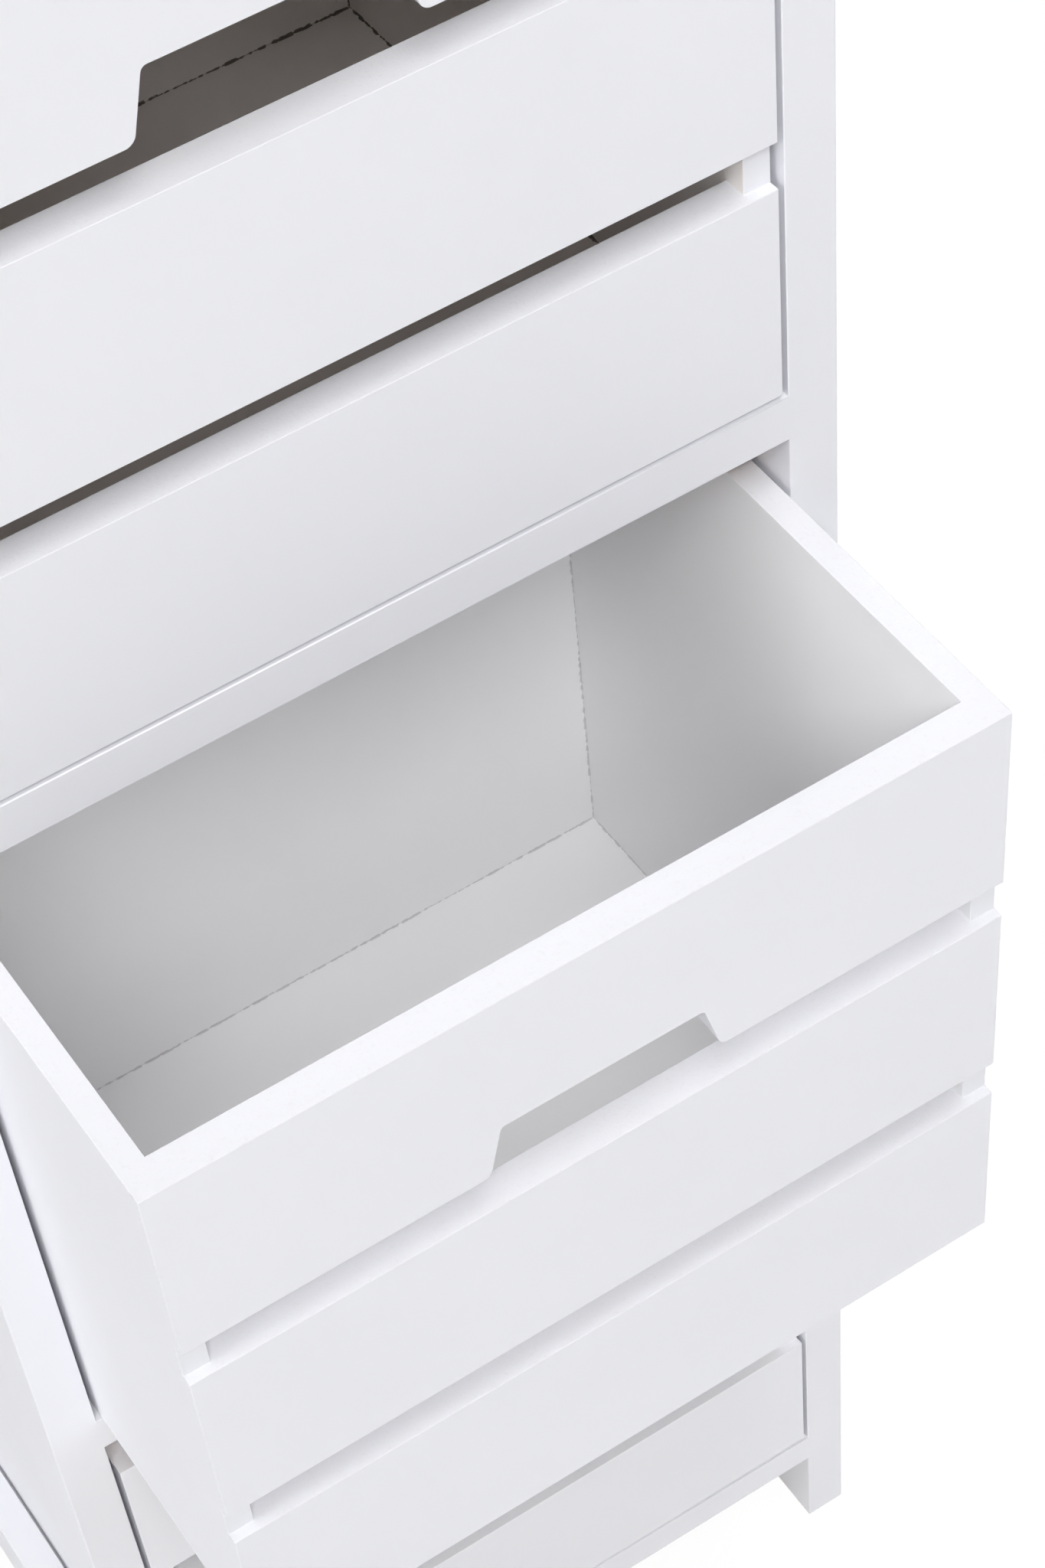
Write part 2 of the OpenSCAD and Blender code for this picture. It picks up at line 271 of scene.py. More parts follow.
def cut_rebate(bm: bmesh.types.BMesh, box: Box, room: Box) -> None:
    """Cuts a rebate along an edge of a board.

    Args:
        bm: The board's mesh, before its edges are eased.
        box: The board's box.
        room: The space that the rebate clears, which may reach past the board.
    """
    waste = box.shared_with(room)
    if min(waste.size) < JOINED:
        return
    for axis in Axis:
        for place in (waste.low[axis], waste.high[axis]):
            if box.low[axis] + JOINED < place < box.high[axis] - JOINED:
                cut_at(bm, axis, place)
    skin = [face for face in bm.faces if waste.holds(face.calc_center_median())]
    bmesh.ops.delete(bm, geom=skin, context="FACES")
    walls = solid_block(bm, waste)
    outer = [face for face in walls if not box.encloses(face.calc_center_median())]
    bmesh.ops.delete(bm, geom=outer, context="FACES")
    bmesh.ops.remove_doubles(bm, verts=bm.verts[:], dist=MERGE_REACH)
    bmesh.ops.recalc_face_normals(bm, faces=bm.faces[:])


def ease_edges(bm: bmesh.types.BMesh, radius: float, joined_to: Sequence[Box]) -> None:
    """Rounds the outer edges of a board, but not where another board meets it.

    Args:
        bm: The board's mesh.
        radius: Radius of the rounding.
        joined_to: Boxes of the boards that are joined to this one.
    """
    for box in joined_to:
        for axis in Axis:
            for place in (box.low[axis], box.high[axis]):
                ends = [vert.co[axis] for vert in bm.verts]
                if min(ends) + JOINED < place < max(ends) - JOINED:
                    cut_at(bm, axis, place)
    bm.normal_update()
    corners = []
    for edge in bm.edges:
        if len(edge.link_faces) != 2 or edge.calc_face_angle(0.0) < SHARP_ANGLE:
            continue
        middle = (edge.verts[0].co + edge.verts[1].co) / 2
        if not any(box.holds(middle) for box in joined_to):
            corners.append(edge)
    round_edges(bm, corners, radius, EDGE_STEPS, clamp_overlap=True)


def round_foot(bm: bmesh.types.BMesh, radius: float) -> None:
    """Rounds the lowest edges of a post, where it stands on the floor.

    Args:
        bm: The post's mesh.
        radius: Radius of the rounding.
    """
    ankle = min(vert.co.z for vert in bm.verts) + JOINED
    sole = [edge for edge in bm.edges if all(vert.co.z < ankle for vert in edge.verts)]
    round_edges(bm, sole, radius, FOOT_STEPS)


def piece_from(bm: bmesh.types.BMesh, name: str) -> bpy.types.Object:
    """Turns a finished bmesh into an object of the scene.

    Args:
        bm: The mesh, in the frame's own place.
        name: Name of the piece.

    Returns:
        The new object, which sits at the origin.
    """
    bmesh.ops.recalc_face_normals(bm, faces=bm.faces[:])
    mesh = bpy.data.meshes.new(name)
    bm.to_mesh(mesh)
    bm.free()
    piece = bpy.data.objects.new(name, mesh)
    bpy.context.scene.collection.objects.link(piece)
    return piece


def board(
    name: str,
    box: Box,
    radius: float,
    joined_to: Sequence[Box] = (),
    rebates: Sequence[Box] = (),
    foot_radius: float = 0.0,
) -> bpy.types.Object:
    """Makes a board with eased edges.

    Args:
        name: Name of the piece.
        box: The space that the board fills.
        radius: Radius of its edges.
        joined_to: Boxes of the boards that are joined to it.
        rebates: Spaces that are cut out of its edges.
        foot_radius: Radius of its lowest edges, where it is a foot.

    Returns:
        The new object.
    """
    bm = bmesh.new()
    solid_block(bm, box)
    for room in rebates:
        cut_rebate(bm, box, room)
    if foot_radius:
        round_foot(bm, foot_radius)
    ease_edges(bm, radius, [*joined_to, *rebates])
    return piece_from(bm, name)


# Shader work


@dataclass(frozen=True)
class Noise:
    """A noise: the waves to a metre, and how many finer ones are laid over them."""

    scale: float
    detail: float = 2.0


def rgba(colour: Colour) -> tuple[float, float, float, float]:
    """A colour with full cover."""
    return (*colour, 1.0)


class NodeBench:
    """Adds nodes to one shader tree and joins them."""

    def __init__(self, tree: bpy.types.NodeTree) -> None:
        """Starts work on a tree."""
        self.tree = tree

    def add(self, kind: str, settings: dict | None = None, **inputs: object) -> bpy.types.Node:
        """Adds a node.

        Args:
            kind: The node's type.
            settings: Values of its own properties.
            **inputs: Values or sockets for its inputs, by name with _ for a
                space, or by number after the word slot.

        Returns:
            The node.
        """
        node = self.tree.nodes.new(kind)
        for key, value in (settings or {}).items():
            setattr(node, key, value)
        for key, value in inputs.items():
            numbered = key.startswith("slot")
            socket = node.inputs[int(key.removeprefix("slot")) if numbered else key.replace("_", " ")]
            if isinstance(value, Socket):
                self.tree.links.new(value, socket)
            else:
                socket.default_value = value
        return node

    def math(self, operation: str, *values: object, clamp: bool = False) -> Socket:
        """Adds a Math node.

        Args:
            operation: What it works out.
            *values: The numbers or sockets that it works on.
            clamp: Whether the result is held between 0 and 1.

        Returns:
            Its result.
        """
        settings = {"operation": operation, "use_clamp": clamp}
        inputs = {f"slot{number}": value for number, value in enumerate(values)}
        return self.add("ShaderNodeMath", settings, **inputs).outputs[0]

    def noise(self, vector: Socket, noise: Noise) -> Socket:
        """Adds a noise and gives its value."""
        node = self.add("ShaderNodeTexNoise", Vector=vector, Scale=noise.scale, Detail=noise.detail)
        return node.outputs[0]

    def spread(self, value: Socket, source: Span, target: tuple[object, object] = FULL) -> Socket:
        """Maps a value from one range to another, held at the ends.

        Args:
            value: The value.
            source: The range that it comes from.
            target: The range that it goes to, as numbers or sockets.

        Returns:
            The result.
        """
        from_ends = {"From_Min": source[0], "From_Max": source[1]}
        to_ends = {"To_Min": target[0], "To_Max": target[1]}
        return self.add("ShaderNodeMapRange", Value=value, **from_ends, **to_ends).outputs[0]

    def blend(self, share: Socket, first: object, second: object) -> Socket:
        """Mixes two colours and gives the result."""
        node = self.add("ShaderNodeMix", {"data_type": "RGBA"}, slot0=share, slot6=first, slot7=second)
        return node.outputs[2]


class MaterialBench(NodeBench):
    """The bench of a new material, with its shader and the place of each point of the piece."""

    def __init__(self, name: str) -> None:
        """Makes the material.

        Args:
            name: Name of the material.
        """
        self.material = bpy.data.materials.new(name)
        self.material.use_nodes = True
        super().__init__(self.material.node_tree)
        self.shader = self.tree.nodes["Principled BSDF"]
        self.place = self.add("ShaderNodeTexCoord").outputs["Object"]

    def set_look(self, colour: Socket, roughness: Socket, height: Socket, depth: float) -> None:
        """Joins colour, roughness and relief to the shader.

        Args:
            colour: The base colour.
            roughness: The roughness.
            height: The relief, from 0 to about 1.
            depth: The height of that relief.
        """
        bump = self.add("ShaderNodeBump", Height=height, Distance=depth, Strength=1.0)
        self.tree.links.new(colour, self.shader.inputs["Base Color"])
        self.tree.links.new(roughness, self.shader.inputs["Roughness"])
        self.tree.links.new(bump.outputs[0], self.shader.inputs["Normal"])


class EffectGroup:
    """A shader effect that several finishes share, built once."""

    name: str = ""
    takes: dict[str, str] = {"Vector": "NodeSocketVector"}
    gives: dict[str, str] = {}

    @classmethod
    def tree(cls) -> bpy.types.NodeTree:
        """Gives the group's tree, which is made on the first call.

        Returns:
            The tree.
        """
        known = bpy.data.node_groups.get(cls.name)
        if known:
            return known
        tree = bpy.data.node_groups.new(cls.name, "ShaderNodeTree")
        for name, kind in cls.takes.items():
            tree.interface.new_socket(name, in_out="INPUT", socket_type=kind)
        for name, kind in cls.gives.items():
            tree.interface.new_socket(name, in_out="OUTPUT", socket_type=kind)
        bench = NodeBench(tree)
        start = tree.nodes.new("NodeGroupInput")
        end = tree.nodes.new("NodeGroupOutput")
        for name, socket in cls.fill(bench, start).items():
            tree.links.new(socket, end.inputs[name])
        return tree

    @classmethod
    def fill(cls, bench: NodeBench, start: bpy.types.Node) -> dict[str, Socket]:
        """Builds the effect and gives its results by name."""
        raise NotImplementedError

    @classmethod
    def place(cls, bench: NodeBench, **inputs: object) -> bpy.types.Node:
        """Puts the group into a material."""
        return bench.add("ShaderNodeGroup", {"node_tree": cls.tree()}, **inputs)


class PaintSkin(EffectGroup):
    """The skin of sprayed and sanded satin paint: fine orange peel, slow waves and mottling."""

    name = "paint_skin"
    gives = {"Height": "NodeSocketFloat", "Mottle": "NodeSocketFloat"}
    PEEL = Noise(520.0, 3.0)
    PEEL_WEIGHT = 0.35
    WAVES = Noise(26.0, 1.0)
    MOTTLE = Noise(9.0, 4.0)

    @classmethod
    def fill(cls, bench: NodeBench, start: bpy.types.Node) -> dict[str, Socket]:
        """Adds the peel to the waves, and a slow noise for the tone.

        Args:
            bench: The group's bench.
            start: The node that gives the group's inputs.

        Returns:
            The results by name.
        """
        vector = start.outputs["Vector"]
        peel = bench.math("MULTIPLY", bench.noise(vector, cls.PEEL), cls.PEEL_WEIGHT)
        height = bench.math("ADD", peel, bench.noise(vector, cls.WAVES))
        mottle = bench.spread(bench.noise(vector, cls.MOTTLE), MOST_NOISE)
        return {"Height": height, "Mottle": mottle}


class EdgeTooth(EffectGroup):
    """The toothed skin of paint on a sawn board edge, where the fibres drink it."""

    name = "edge_tooth"
    gives = {"Height": "NodeSocketFloat", "Specks": "NodeSocketFloat"}
    TOOTH = Noise(1900.0, 3.0)
    PITS = Noise(620.0, 3.0)
    PIT_WEIGHT = 0.8
    SPECK_RANGE = (0.56, 0.72)

    @classmethod
    def fill(cls, bench: NodeBench, start: bpy.types.Node) -> dict[str, Socket]:
        """Adds a fine tooth to coarser pits, and picks the specks out of the pits.

        Args:
            bench: The group's bench.
            start: The node that gives the group's inputs.

        Returns:
            The results by name.
        """
        vector = start.outputs["Vector"]
        tooth = bench.noise(vector, cls.TOOTH)
        pits = bench.noise(vector, cls.PITS)
        height = bench.math("ADD", tooth, bench.math("MULTIPLY", pits, cls.PIT_WEIGHT))
        return {"Height": height, "Specks": bench.spread(pits, cls.SPECK_RANGE)}


class CornerSeam(EffectGroup):
    """Fine dark lines in the inner corners of a drawer, where the paint doesn't close the joint."""

    name = "corner_seam"
    takes = {
        "Vector": "NodeSocketVector",
        "Half Width": "NodeSocketFloat",
        "Half Depth": "NodeSocketFloat",
        "Line": "NodeSocketFloat",
    }
    gives = {"Mask": "NodeSocketFloat"}
    FADE = 0.0004
    DASHES = Noise(330.0)
    DASH_RANGE = (0.38, 0.58)
    DASH_WIDTHS = (0.1, 1.2)
    RUNS = Noise(24.0)
    RUN_RANGE = (0.34, 0.50)
    RUN_WIDTHS = (0.5, 1.1)

    @classmethod
    def fill(cls, bench: NodeBench, start: bpy.types.Node) -> dict[str, Socket]:
        """Measures to the sides, the back and the floor; the middle one is the distance to a corner.

        Args:
            bench: The group's bench.
            start: The node that gives the group's inputs.

        Returns:
            The results by name.
        """
        vector = start.outputs["Vector"]
        parts = bench.add("ShaderNodeSeparateXYZ", Vector=vector)
        across = bench.math("ABSOLUTE", parts.outputs["X"])
        past_side = bench.math("SUBTRACT", start.outputs["Half Width"], across)
        past_back = bench.math("SUBTRACT", start.outputs["Half Depth"], parts.outputs["Y"])
        off_side = bench.math("ABSOLUTE", past_side)
        off_back = bench.math("ABSOLUTE", past_back)
        off_floor = bench.math("ABSOLUTE", parts.outputs["Z"])
        nearest = bench.math("MINIMUM", off_side, off_back)
        farthest = bench.math("MAXIMUM", off_side, off_back)
        off_corner = bench.math("MAXIMUM", nearest, bench.math("MINIMUM", farthest, off_floor))
        dashes = bench.spread(bench.noise(vector, cls.DASHES), cls.DASH_RANGE, cls.DASH_WIDTHS)
        runs = bench.spread(bench.noise(vector, cls.RUNS), cls.RUN_RANGE, cls.RUN_WIDTHS)
        reach = bench.math("MULTIPLY", bench.math("MULTIPLY", dashes, runs), start.outputs["Line"])
        inside = bench.math("SUBTRACT", bench.math("ADD", reach, cls.FADE / 2), off_corner)
        return {"Mask": bench.math("DIVIDE", inside, cls.FADE, clamp=True)}


class WoodGrain(EffectGroup):
    """Growth rings and fibres of planed softwood; the fibres run along the vector's X."""

    name = "wood_grain"
    gives = {"Rings": "NodeSocketFloat", "Fibres": "NodeSocketFloat"}
    RING_STRETCH = (0.12, 1.0, 1.0)
    RING_SCALE = 60.0
    RING_BEND = 2.4
    BEND_DETAIL = 3.0
    BEND_SCALE = 0.8
    FIBRE_STRETCH = (0.05, 1.0, 1.0)
    FIBRES = Noise(900.0, 3.0)

    @classmethod
    def fill(cls, bench: NodeBench, start: bpy.types.Node) -> dict[str, Socket]:
        """Draws bent rings round the fibre direction and fine fibres along it.

        Args:
            bench: The group's bench.
            start: The node that gives the group's inputs.

        Returns:
            The results by name.
        """
        vector = start.outputs["Vector"]
        long = bench.add("ShaderNodeMapping", Vector=vector, Scale=cls.RING_STRETCH)
        rings = bench.add(
            "ShaderNodeTexWave",
            {"wave_type": "RINGS", "rings_direction": "X"},
            Vector=long.outputs[0],
            Scale=cls.RING_SCALE,
            Distortion=cls.RING_BEND,
            Detail=cls.BEND_DETAIL,
            Detail_Scale=cls.BEND_SCALE,
        )
        longer = bench.add("ShaderNodeMapping", Vector=vector, Scale=cls.FIBRE_STRETCH)
        fibres = bench.noise(longer.outputs[0], cls.FIBRES)
        return {"Rings": rings.outputs["Fac"], "Fibres": fibres}


# Finishes


@dataclass(frozen=True)
class Finish:
    """What a surface is finished with."""

    name: str

    def material(self) -> bpy.types.Material:
        """Gives the Blender material, which is made on the first call.

        Returns:
            The material.
        """
        known = bpy.data.materials.get(self.name)
        if known:
            return known
        bench = MaterialBench(self.name)
        self.fill(bench)
        return bench.material

    def fill(self, bench: MaterialBench) -> None:
        """Builds the finish on the material's own shader."""
        raise NotImplementedError

    def coat(self, bench: MaterialBench, colour: Socket) -> Socket:
        """What shows over the finish's own colour: nothing, on most."""
        return colour


@dataclass(frozen=True)
class SatinPaint(Finish):
    """White satin paint on a smooth face, a little rougher where it is dull."""

    light: Colour = (0.910, 0.914, 0.955)
    dull: Colour = (0.896, 0.900, 0.940)
    roughness: Span = (0.47, 0.37)
    relief: float = 0.00005

    def fill(self, bench: MaterialBench) -> None:
        """Mottles the white a little and gives it a fine orange peel.

        Args:
            bench: The material's bench.
        """
        skin = PaintSkin.place(bench, Vector=bench.place)
        mottle = skin.outputs["Mottle"]
        colour = bench.blend(mottle, rgba(self.dull), rgba(self.light))
        rough = bench.spread(mottle, FULL, self.roughness)
        bench.set_look(self.coat(bench, colour), rough, skin.outputs["Height"], self.relief)


@dataclass(frozen=True)
class SeamedPaintWithPaintedLight(SatinPaint):
    """Satin paint inside the opened drawer, with open joint lines in its corners; its white is lighter
    than the outer paint's, which is painted light inside the drawer.
    """

    # A lighter white than the outer paint: painted light on the inside of the drawer.
    light: Colour = (0.975, 0.975, 0.987)
    dull: Colour = (0.962, 0.962, 0.976)
    seam: Colour = (0.70, 0.69, 0.70)
    line: float = 0.0007
    middle: Point = (0.0, 0.0, 0.0)
    half_width: float = 0.0
    half_depth: float = 0.0

    def coat(self, bench: MaterialBench, colour: Socket) -> Socket:
        """Draws the joint lines over the white.

        Args:
            bench: The material's bench.
            colour: The mottled white.

        Returns:
            The white with its lines.
        """
        offset = tuple(-part for part in self.middle)
        centred = bench.add("ShaderNodeMapping", Vector=bench.place, Location=offset)
        seam = CornerSeam.place(
            bench,
            Vector=centred.outputs[0],
            Half_Width=self.half_width,
            Half_Depth=self.half_depth,
            Line=self.line,
        )
        return bench.blend(seam.outputs["Mask"], colour, rgba(self.seam))


@dataclass(frozen=True)
class SeamedPaintWithPaintedWarmShade(SeamedPaintWithPaintedLight):
    """The paint inside the closed drawers, lighter than the outer paint and tinted warm, as painted light
    and painted warm shade, and with darker and wider joint lines.
    """

    # Warm tint of the white: painted warm shade inside the closed drawers.
    light: Colour = (0.978, 0.936, 0.905)
    dull: Colour = (0.966, 0.922, 0.890)
    seam: Colour = (0.22, 0.19, 0.17)
    line: float = 0.0009


@dataclass(frozen=True)
class EdgePaintWithPaintedShade(Finish):
    """White paint on sawn edges, rougher than on the faces and slightly speckled, and darker than the
    faces' paint as painted shade on the faces that look up and down.
    """

    # A darker white than the face paint: painted shade on the up- and down-facing edges.
    light: Colour = (0.838, 0.840, 0.875)
    speck: Colour = (0.813, 0.813, 0.844)
    roughness: Span = (0.60, 0.75)
    relief: float = 0.00006

    def fill(self, bench: MaterialBench) -> None:
        """Speckles the white and roughens its skin.

        Args:
            bench: The material's bench.
        """
        tooth = EdgeTooth.place(bench, Vector=bench.place)
        specks = tooth.outputs["Specks"]
        colour = bench.blend(specks, rgba(self.light), rgba(self.speck))
        rough = bench.spread(specks, FULL, self.roughness)
        bench.set_look(colour, rough, tooth.outputs["Height"], self.relief)


@dataclass(frozen=True)
class BareWood(Finish):
    """Planed softwood without paint."""

    early: Colour = (0.60, 0.43, 0.27)
    late: Colour = (0.44, 0.28, 0.155)
    grain: Grain = Grain.ALONG_X
    heart: Point = (0.03, 0.02, 0.05)
    fibre_share: float = 0.35
    ring_weight: float = 0.4
    roughness: Span = (0.55, 0.75)
    relief: float = 0.00008

    def fill(self, bench: MaterialBench) -> None:
        """Turns the grain along the board and colours its rings and fibres.

        Args:
            bench: The material's bench.
        """
        along = bench.add(
            "ShaderNodeMapping", Vector=bench.place, Rotation=self.grain.value, Location=self.heart
        )
        grain = WoodGrain.place(bench, Vector=along.outputs[0])
        rings, fibres = grain.outputs["Rings"], grain.outputs["Fibres"]
        ringed = bench.blend(rings, rgba(self.early), rgba(self.late))
        share = bench.spread(fibres, MOST_NOISE, (0.0, self.fibre_share))
        colour = bench.blend(share, ringed, rgba(self.late))
        rough = bench.spread(fibres, WIDE_NOISE, self.roughness)
        height = bench.math("ADD", fibres, bench.math("MULTIPLY", rings, self.ring_weight))
        bench.set_look(colour, rough, height, self.relief)


@dataclass(frozen=True)
class RawHardboard(Finish):
    """The brown back of thin pressed board."""

    light: Colour = (0.56, 0.405, 0.275)
    dark: Colour = (0.44, 0.300, 0.190)
    fibres: Noise = Noise(420.0, 5.0)
    clouds: Noise = Noise(14.0, 3.0)
    light_range: Span = (0.8, 1.2)
    roughness: Span = (0.62, 0.80)
    relief: float = 0.00012

    def fill(self, bench: MaterialBench) -> None:
        """Mixes short pressed fibres of two browns.

        Args:
            bench: The material's bench.
        """
        fibres = bench.noise(bench.place, self.fibres)
        clouds = bench.noise(bench.place, self.clouds)
        share = bench.spread(bench.math("ADD", fibres, clouds), self.light_range)
        colour = bench.blend(share, rgba(self.dark), rgba(self.light))
        rough = bench.spread(fibres, WIDE_NOISE, self.roughness)
        bench.set_look(self.coat(bench, colour), rough, fibres, self.relief)


@dataclass(frozen=True)
class TwoFacedHardboard(RawHardboard):
    """Thin pressed board seen from both faces: painted behind, raw towards the drawers."""

    paint: Colour = (0.86, 0.855, 0.88)
    middle_y: float = 0.0

    def coat(self, bench: MaterialBench, colour: Socket) -> Socket:
        """Paints the half of the board's thickness that lies behind its middle.

        Args:
            bench: The material's bench.
            colour: The brown.

        Returns:
            Brown in front and paint behind.
        """
        depth = bench.add("ShaderNodeSeparateXYZ", Vector=bench.place).outputs["Y"]
        behind = bench.math("GREATER_THAN", depth, self.middle_y)
        return bench.blend(behind, colour, rgba(self.paint))


@dataclass(frozen=True)
class ZincPlate(Finish):
    """Bright zinc on screws and nails."""

    bright: Colour = (0.70, 0.71, 0.73)
    dull: Colour = (0.52, 0.52, 0.50)
    clouds: Noise = Noise(600.0, 3.0)
    roughness: Span = (0.28, 0.45)
    relief: float = 0.00003

    def fill(self, bench: MaterialBench) -> None:
        """Clouds the plating a little.

        Args:
            bench: The material's bench.
        """
        clouds = bench.noise(bench.place, self.clouds)
        colour = bench.blend(bench.spread(clouds, MOST_NOISE), rgba(self.dull), rgba(self.bright))
        rough = bench.spread(clouds, WIDE_NOISE, self.roughness)
        bench.set_look(colour, rough, clouds, self.relief)
        bench.shader.inputs["Metallic"].default_value = 1.0


PAINT = SatinPaint("white_satin_paint")
SHADED_EDGE_PAINT = EdgePaintWithPaintedShade("white_edge_paint_with_painted_shade")
HARDBOARD = RawHardboard("raw_hardboard")
ZINC = ZincPlate("zinc_plate")
WOOD = {grain: BareWood(f"bare_wood_{grain.name.lower()}", grain=grain) for grain in Grain}


def all_alike(face: bpy.types.MeshPolygon) -> int:
    """Gives every face the first finish."""
    return 0


def second_towards(direction: Vector) -> FacePicker:
    """A picker that gives the second finish to faces that look in a direction."""
    return lambda face: int(face.normal.dot(direction) > FACING)


def second_within(space: Box) -> FacePicker:
    """A picker that gives the second finish to faces whose middle lies in a space."""
    return lambda face: int(space.holds(face.center))


def inner_and_edges(inward: Vector) -> FacePicker:
    """Sorts the faces of a drawer's board.

    Args:
        inward: The direction from the board to the inside of the drawer.

    Returns:
        A picker that gives 0 on outer faces, 1 inside the drawer and 2 on sawn edges.
    """

    def pick(face: bpy.types.MeshPolygon) -> int:
        """Compares the face's normal with the two directions."""
        if abs(face.normal.z) > FACING:
            return 2
        return int(face.normal.dot(inward) > FACING)

    return pick


def finish_piece(
    piece: bpy.types.Object,
    node: str,
    body: str,
    finishes: Sequence[Finish],
    pick: FacePicker = all_alike,
) -> None:
    """Puts a piece in the place of a node, with its finishes.

    Args:
        piece: The piece.
        node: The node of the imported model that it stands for.
        body: The body that it rides on.
        finishes: Its finishes, the main one first.
        pick: Chooses the finish of a face.
    """
    for finish in finishes:
        piece.data.materials.append(finish.material())
    for polygon in piece.data.polygons:
        polygon.material_index = pick(polygon)
    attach(piece, body)
    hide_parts(node)
    LOG.info("%s: %d faces on %s", piece.name, len(piece.data.polygons), body)


def dress_node(node: str, finish: Finish) -> None:
    """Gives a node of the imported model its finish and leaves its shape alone.

    Args:
        node: Name of the node.
        finish: Its finish.
    """
    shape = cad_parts[node]
    shape.data.materials.clear()
    shape.data.materials.append(finish.material())
    LOG.info("%s: kept as packed", node)


# The tower


@dataclass
class Carcass:
    """Posts, rails, side panels, top board and back of the tower."""

    body: str = "cabinet"
    edge_radius: float = 0.0005
    foot_radius: float = 0.002
    panel_edge_radius: float = 0.0004
    panel_play: float = 0.0002
    shadow_gap: float = 0.0018
    posts: list[str] = field(
        default_factory=lambda: [f"post_{end.value}_{side.value}" for end in End for side in Side]
    )
    front_rails: list[str] = field(
        default_factory=lambda: [f"front_rail_{level.value}" for level in Level]
    )
    side_rails: list[str] = field(
        default_factory=lambda: [
            f"side_rail_{level.value}_{side.value}" for level in (Level.BOTTOM, Level.TOP) for side in Side
        ]
    )

    def build(self) -> None:
        """Builds the painted boards and dresses the rest."""
        self.build_frame()
        self.build_panels()
        self.dress_hidden_parts()

    def panel_room(self, side: Side) -> Box:
        """Finds the rebate round a side panel, which leaves a fine gap outside it.

        Args:
            side: The panel's side.

        Returns:
            The space of the panel and its gaps.
        """
        panel = Box.of(f"side_panel_{side.value}")
        low, high = panel.low.copy(), panel.high.copy()
        for corner, way in ((low, -1.0), (high, 1.0)):
            corner.x += way * (self.shadow_gap if way == side.outward else self.panel_play)
            corner.y += way * self.panel_play
            corner.z += way * self.panel_play
        return Box(low, high)

    def build_frame(self) -> None:
        """Builds posts and rails, flush where they are joined, and the top."""
        rails = [Box.of(node) for node in self.front_rails + self.side_rails]
        posts = [Box.of(node) for node in self.posts]
        top = Box.of("top_board")
        rooms = [self.panel_room(side) for side in Side]
        for node in self.posts:
            self.add_board(node, rails + [top], rooms, self.foot_radius)
        for node in self.front_rails:
            self.add_board(node, posts + [top], [])
        for node in self.side_rails:
            self.add_board(node, posts + [top], rooms)
        self.build_top()

    def add_board(
        self, node: str, joined_to: Sequence[Box], rooms: Sequence[Box], foot_radius: float = 0.0
    ) -> None:
        """Builds one painted board of the frame.

        Args:
            node: The node that it stands for.
            joined_to: Boxes of the boards that are joined to it.
            rooms: Rebates that may cross it.
            foot_radius: Radius of its lowest edges, where it is a post.
        """
        box = Box.of(node)
        rebates = [room for room in rooms if min(box.shared_with(room).size) > JOINED]
        piece = board(f"{node}_painted", box, self.edge_radius, joined_to, rebates, foot_radius)
        finish_piece(piece, node, self.body, [PAINT])

    def build_top(self) -> None:
        """Builds the top board, which is painted except inside the frame."""
        box = Box.of("top_board")
        low = Vector((Box.of("post_front_left").high.x, Box.of("front_rail_top").high.y, box.low.z))
        high = Vector((Box.of("post_front_right").low.x, Box.of("rear_rail_top").low.y, box.low.z))
        bm = bmesh.new()
        solid_block(bm, box)
        ease_edges(bm, self.edge_radius, [])
        for axis in (Axis.X, Axis.Y):
            cut_at(bm, axis, low[axis])
            cut_at(bm, axis, high[axis])
        finish_piece(
            piece_from(bm, "top_board_painted"),
            "top_board",
            self.body,
            [PAINT, HARDBOARD],
            second_within(Box(low, high)),
        )

    def build_panels(self) -> None:
        """Builds the side panels, painted outside and raw inside."""
        for side in Side:
            node = f"side_panel_{side.value}"
            piece = board(f"{node}_painted", Box.of(node), self.panel_edge_radius)
            inward = Vector((-side.outward, 0.0, 0.0))
            finish_piece(
                piece, node, self.body, [PAINT, HARDBOARD], second_towards(inward)
            )

    def dress_hidden_parts(self) -> None:
        """Dresses the boards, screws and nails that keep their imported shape."""
        back = Box.of("back_panel")
        dress_node("back_panel", TwoFacedHardboard("back_hardboard", middle_y=back.centre.y))
        for level in Level:
            dress_node(f"rear_rail_{level.value}", WOOD[Grain.ALONG_X])
            for side in Side:
                dress_node(f"runner_{level.value}_{side.value}", WOOD[Grain.ALONG_Y])
        dress_node("drawer_stops", WOOD[Grain.ALONG_Z])
        dress_node("frame_dowels", WOOD[Grain.ALONG_X])
        for node in ("stop_screws", "runner_screws", "back_panel_nails"):
            dress_node(node, ZINC)


